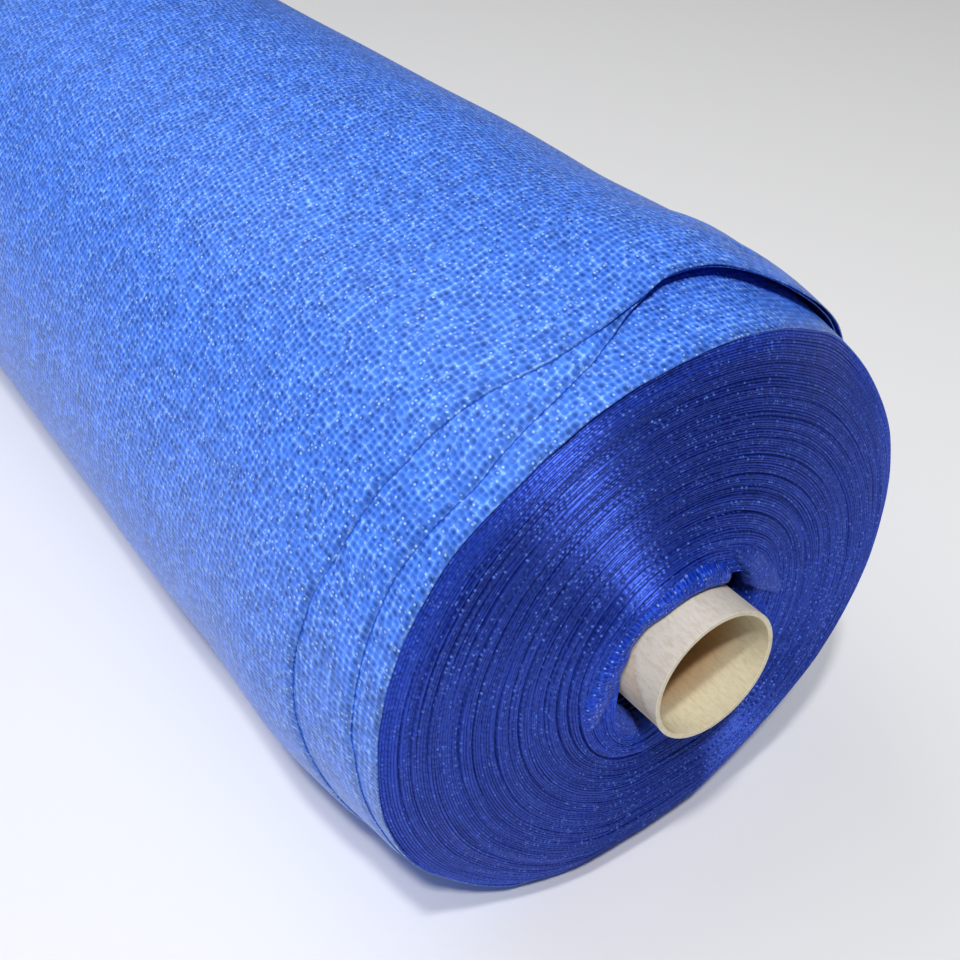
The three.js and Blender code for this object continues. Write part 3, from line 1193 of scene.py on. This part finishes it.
# The lobe past the small gap at the core's upper right
UPPER_LOBE = tuple(FoldRow(*row) for row in (
    (262, 48.5, 23.0, 52.5, 24.0), (270, 46.5, 20.6, 53, 22.0), (278, 41.6, 18.8, 53, 21.0),
    (284, 37.6, 18.0, 52, 20.4), (291, 34.4, 17.6, 51, 20.0), (298, 33.4, 17.4, 50, 20.0),
    (305, 34.2, 17.4, 49, 19.8), (312, 35.6, 17.6, 48, 19.8), (320, 36.4, 18.2, 47.5, 20.2),
    (330, 38.0, 20.0, 46, 22.5),
))


@dataclass
class CoreFold(LaidSheet):
    """Bunched cloth of the innermost turns beside the core: one fold with a rolled edge."""

    columns: int = 300
    rows: int = 44
    rests_on: tuple[str, ...] = ("near_inner_turns", "core_board")
    uneven: Unevenness = Unevenness(53)
    thickness: float = 0.8
    side: float = 0.0
    fold: tuple[FoldRow, ...] = ()
    # How far the fold swells, its edge is rolled under and its foot is tucked in
    swell: float = 2.0
    rolled: float = 2.4
    tucked: float = 3.5
    # Ripples of the fold and of its yarns: height, length outwards, ripples per turn and lobes
    ripples: tuple[tuple[float, float, float, int], ...] = ((0.9, 4.5, 4.0, 5), (0.06, 1.6, 9.0, 6))

    def lay(self, along: Array, across: Array) -> tuple[Array, Array]:
        """Lays the fold.

        Args:
            along: Share round the core.
            across: Share from its rolled edge to its foot on the face.

        Returns:
            Points in metres and UVs.
        """
        first, last = self.fold[0].angle, self.fold[-1].angle
        angle = first + (last - first) * along
        inner, top, outer, foot = (
            curve_through([(row.angle, getattr(row, size)) for row in self.fold], angle)
            for size in ("edge_radius", "edge_setback", "foot_radius", "foot_setback")
        )
        width = outer - inner
        radius = inner + width * across
        rolled = self.rolled * (1.0 - smooth(across * width, 0.0, 2.2)) ** 2
        arch = self.swell * np.sin(math.pi * across**0.7) * smooth(width, 1.0, 10.0)
        tucked = self.tucked * smooth(across, 0.6, 1.0)
        ripple = sum(height * self.uneven.over(radius / length, count * angle, lobes)
                     for height, length, count, lobes in self.ripples)
        setback = top + (foot - top) * across + rolled - arch + tucked + ripple * smooth(across, 0.05, 0.4)
        # Bunching draws the stitches together, so the cloth's own sizes are 1.45 times those it covers
        cloth = 1.45 * MM * np.stack([36.0 * np.radians(angle), radius - 28.0], axis=-1)
        return self.form.place(radius, angle, setback), cloth


@dataclass
class WoundMass:
    """The wound netting behind the turns that show, closed and a little inside them."""

    form: WoundForm
    columns: int = 144
    inset: float = 2.2
    # The rings the form is made of: radii at the near face, setbacks on the wall, radii at the far face
    near_rings: tuple[float, ...] = (28.0, 36.0, 46.0, 58.0, 72.0, 86.0, 100.0, 112.0, 122.0, 127.5)
    wall_rings: tuple[float, ...] = (60.0, 100.0, 180.0, 300.0, 600.0, 1000.0, 1500.0, 1800.0, 1836.0)
    far_rings: tuple[float, ...] = (122.0, 100.0, 70.0, 45.0, 28.0)
    # How far the rings lie behind the near face, the first one in the bunched cloth, and the far face
    near_depth: float = 6.5
    core_depth: float = 20.5
    far_depth: float = 7.0
    # The near rings beyond this radius lie a little further in
    rim_from: float = 110.0
    rim_inset: float = 1.5

    def ring(self, index: int, angle: Array) -> tuple[Array, Array]:
        """Sizes of one ring.

        Args:
            index: Its number, from the near bore over the wall to the far bore.
            angle: Angles round the roll.

        Returns:
            Its radius and its setback at each angle.
        """
        form = self.form
        on_wall = index - len(self.near_rings)
        on_far = on_wall - len(self.wall_rings)
        if on_wall < 0:
            nominal = np.full(len(angle), self.near_rings[index])
            depth = self.core_depth if index == 0 else self.near_depth
            setback = form.face_at(nominal, angle) + depth
            radius = form.face_radius(nominal, angle, setback)
            return radius - self.rim_inset * (nominal > self.rim_from), setback
        if on_far < 0:
            setback = np.full(len(angle), self.wall_rings[on_wall])
            return form.face_rim_radius - form.narrowing(setback, angle) - self.inset, setback
        setback = np.full(len(angle), form.far_setback - self.far_depth)
        return np.full(len(angle), self.far_rings[on_far]), setback

    def lay(self, along: Array, across: Array) -> tuple[Array, Array]:
        """Lays the closed form.

        Args:
            along: Share round the roll.
            across: Share from the near bore over the wall to the far bore.

        Returns:
            Points in metres and UVs.
        """
        angle = TURN * along
        count = len(self.near_rings) + len(self.wall_rings) + len(self.far_rings)
        step = np.rint(across * count).astype(int) % count
        radius, setback = np.empty_like(angle), np.empty_like(angle)
        for index in range(count):
            here = step == index
            radius[here], setback[here] = self.ring(index, angle[here])
        cloth = np.stack([MM * radius * np.radians(angle), MM * setback], axis=-1)
        return self.form.place(radius, angle, setback), cloth

    def build(self, material: bpy.types.Material) -> bpy.types.Object:
        """Builds and dresses the wound mass, in the place of the CAD's netting.

        Args:
            material: The netting it is made of.

        Returns:
            The finished object.
        """
        count = len(self.near_rings) + len(self.wall_rings) + len(self.far_rings)
        piece = laid_grid("wound_mass", self.columns, count, self.lay, close=True)
        dress(piece, material)
        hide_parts("netting_roll")
        return piece


# ---------------------------------------------------------------- the core


@dataclass
class CoreTube:
    """Spiral-wound cardboard tube with the seams of its outer and inner ply, open right through."""

    form: WoundForm
    length: float = 1880.0
    # Radius of the bore, and how far the rim's edges are rounded
    bore: float = 25.4
    edge: float = 0.22
    columns: int = 192
    # Setback of each ply's seam at the top of the tube, and its pitch
    outer_seam: float = 31.8
    outer_pitch: float = 91.0
    inner_seam: float = 24.0
    inner_pitch: float = 44.0
    seam_depth: float = 0.3
    # The inner ply is thinner, so its step is smaller
    inner_share: float = 0.6
    # Setbacks of the rings from the near end; the far end mirrors them
    rings: tuple[float, ...] = (
        0.22, 1.2, 2.4, 3.6, 4.8, 6, 7.2, 8.4, 9.6, 10.8, 12, 13.2, 14.4, 15.6, 16.8, 18, 20, 24, 34, 60,
        120, 300, 600,
    )

    def section(self) -> list[tuple[float, float, bool]]:
        """Goes round the wall's section.

        Returns:
            Setback, radius and whether it is inside, ring by ring.
        """
        outer, inner, edge = self.form.core_radius, self.bore, self.edge
        along = [*self.rings, *(self.length - ring for ring in reversed(self.rings))]
        outside = [(0.0, outer - edge, False), *((s, outer, False) for s in along),
                   (self.length, outer - edge, False)]
        inside = [(self.length, inner + edge, True), *((s, inner, True) for s in reversed(along)),
                  (0.0, inner + edge, True)]
        return [*outside, *inside, outside[0]]

    def lay(self, along: Array, across: Array) -> tuple[Array, Array]:
        """Lays the tube.

        Args:
            along: Share round its axis.
            across: Share round its wall's section.

        Returns:
            Points in metres, and for each the place past its ply's seam and whether it is inside.
        """
        rows = self.section()
        step = np.rint(across * (len(rows) - 1)).astype(int)
        setback, radius, inside = np.array(rows, float)[step].T
        angle = TURN * along
        outer_seam = (setback - self.outer_seam) / self.outer_pitch + angle / TURN
        inner_seam = (setback - self.inner_seam) / self.inner_pitch + angle / TURN
        place = np.where(inside > 0, inner_seam, outer_seam) % 1.0
        # The ply's edge: a step down just past the seam, faired out over a third of the pitch
        step_down = self.seam_depth * (1.0 - smooth(place, 0.0, 0.3)) * (setback > 0.3)
        radius = np.where(inside > 0, radius + self.inner_share * step_down, radius - step_down)
        return self.form.place(radius, angle, setback), np.stack([place, inside], axis=-1)

    def build(self, material: bpy.types.Material) -> bpy.types.Object:
        """Builds and dresses the tube, in the place of the CAD's one.

        Args:
            material: The board it is made of.

        Returns:
            The finished object.
        """
        piece = laid_grid("core_board", self.columns, len(self.section()) - 1, self.lay, "board", close=True)
        piece.data.set_sharp_from_angle(angle=math.radians(25.0))
        dress(piece, material)
        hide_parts("core_tube")
        return piece


# ---------------------------------------------------------------- studio


@dataclass
class Studio:
    """Camera at the photograph's angle, soft lights and a pale floor."""

    # The middle of the core's near end
    target: Vector
    # The camera, fitted to the core's rim and the roll's outlines: focal length in pixels, place from
    # the target in metres, and its axes
    frame_pixels: float = 960.0
    focal_pixels: float = 1311.23
    sensor: float = 36.0
    camera_offset: tuple[float, float, float] = (0.2250453, -0.2549113, 0.3305353)
    camera_axes: tuple[tuple[float, float, float], ...] = (
        (0.5654, 0.8249, 0.0), (-0.4914, 0.3368, 0.8032), (0.6625, -0.4541, 0.5957),
    )
    # The tube's inside shows two edges of shadow, so there are two compact lights side by side:
    # angle round the roll, share forward of the end face, and power
    keys: tuple[tuple[float, float, float], ...] = ((18.0, 0.283, 36.0), (22.0, 0.422, 50.0))
    key_distance: float = 3.0
    key_size: float = 0.16
    # The soft light over the middle of the roll: where it is and what it faces, from the target
    fill_place: tuple[float, float, float] = (-1.9, -0.9, 2.6)
    fill_aim: tuple[float, float, float] = (-1.2, 0.0, 0.0)
    fill_size: float = 3.0
    fill_power: float = 38.0
    world_strength: float = 0.08
    # Half the floor's width, and how far it lies below the roll, so that the two don't flicker
    floor_half: float = 9.0
    floor_drop: float = 0.0004

    def camera(self) -> None:
        """Sets the camera from the fit to the core's rim and the roll's outlines."""
        data = bpy.data.cameras.new("camera")
        data.sensor_width = self.sensor
        data.lens = self.sensor * self.focal_pixels / self.frame_pixels
        data.clip_start = 0.02
        turn = Matrix(self.camera_axes).transposed().to_4x4()
        camera = bpy.data.objects.new("camera", data)
        camera.matrix_world = Matrix.Translation(self.target + Vector(self.camera_offset)) @ turn
        bpy.context.collection.objects.link(camera)
        bpy.context.scene.camera = camera

    def area_light(self, name: str, place: Vector, aim: Vector, size: float, power: float) -> None:
        """Adds one square soft light.

        Args:
            name: The light's name.
            place: Where it is.
            aim: The point it faces.
            size: Its side in metres.
            power: Its power in watts.
        """
        data = bpy.data.lights.new(name, "AREA")
        data.size = size
        data.energy = power
        light = bpy.data.objects.new(name, data)
        turn = (aim - place).to_track_quat("-Z", "Y").to_matrix().to_4x4()
        light.matrix_world = Matrix.Translation(place) @ turn
        bpy.context.collection.objects.link(light)

    def lights(self) -> None:
        """Adds the keys from up and towards -Y, the soft fill above and the dim surroundings."""
        for number, (angle, forward, power) in enumerate(self.keys, start=1):
            turned, side = math.radians(angle), math.sqrt(1.0 - forward**2)
            towards = Vector((forward, -side * math.sin(turned), side * math.cos(turned)))
            self.area_light(f"key_{number}", self.target + self.key_distance * towards, self.target,
                            self.key_size, power)
        above, below = (self.target + Vector(offset) for offset in (self.fill_place, self.fill_aim))
        self.area_light("overhead", above, below, self.fill_size, self.fill_power)
        world = bpy.data.worlds.new("studio")
        world.use_nodes = True
        background = world.node_tree.nodes["Background"].inputs
        background["Color"].default_value = (1, 1, 1, 1)
        background["Strength"].default_value = self.world_strength
        bpy.context.scene.world = world
        bpy.context.scene.view_settings.view_transform = "Standard"

    def floor(self) -> None:
        """Adds a wide plain floor just under the roll."""
        plane = bmesh.new()
        bmesh.ops.create_grid(plane, x_segments=1, y_segments=1, size=self.floor_half)
        bmesh.ops.translate(plane, verts=plane.verts, vec=(0, 0, -self.floor_drop))
        mesh = bpy.data.meshes.new("floor")
        plane.to_mesh(mesh)
        plane.free()
        floor = bpy.data.objects.new("floor", mesh)
        bpy.context.collection.objects.link(floor)
        floor.data.materials.append(PaleFloor().build())


def main() -> None:
    """Builds the roll in order."""
    logging.basicConfig(level=logging.INFO, format="%(message)s")
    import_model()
    low, high = (Vector(corner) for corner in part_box("core_tube"))
    middle = (low + high) / 2
    studio = Studio(target=Vector((high.x, middle.y, middle.z)))
    studio.camera()

    form = WoundForm(axis_y=middle.y / MM, axis_z=middle.z / MM, near_end=high.x / MM)
    last = TURN * form.turns
    # The near end is two strips, so that neither has too many faces
    split = SHEETED + 0.42 * (last - SHEETED)
    wall, edges, bunched = (finish.build() for finish in (WALL_NETTING, SHADED_EDGE_NETTING, HALF_SHADED_BUNCHED_NETTING))
    OuterTurn(form).build(wall)
    UnderTurns(form).build(wall)
    EndTurns(form, End.NEAR, "near_outer_turns", SHEETED, split).build(edges)
    EndTurns(form, End.NEAR, "near_inner_turns", split, last).build(edges)
    EndTurns(form, End.FAR, "far_turns", TURN, last, segments=72).build(edges)
    CoreFold(form, "core_collar", flat=(0.02, 0.12), fold=COLLAR, swell=1.9).build(bunched)
    CoreFold(form, "lower_lobe", flat=(0.022, 0.075), fold=LOWER_LOBE, swell=2.0).build(edges)
    CoreFold(form, "upper_lobe", flat=(0.02, 0.06), fold=UPPER_LOBE, swell=2.2).build(edges)
    WoundMass(form).build(SHADED_INSIDE_NETTING.build())
    CoreTube(form).build(Board().build())

    studio.lights()
    studio.floor()


if __name__ == "__main__":
    main()
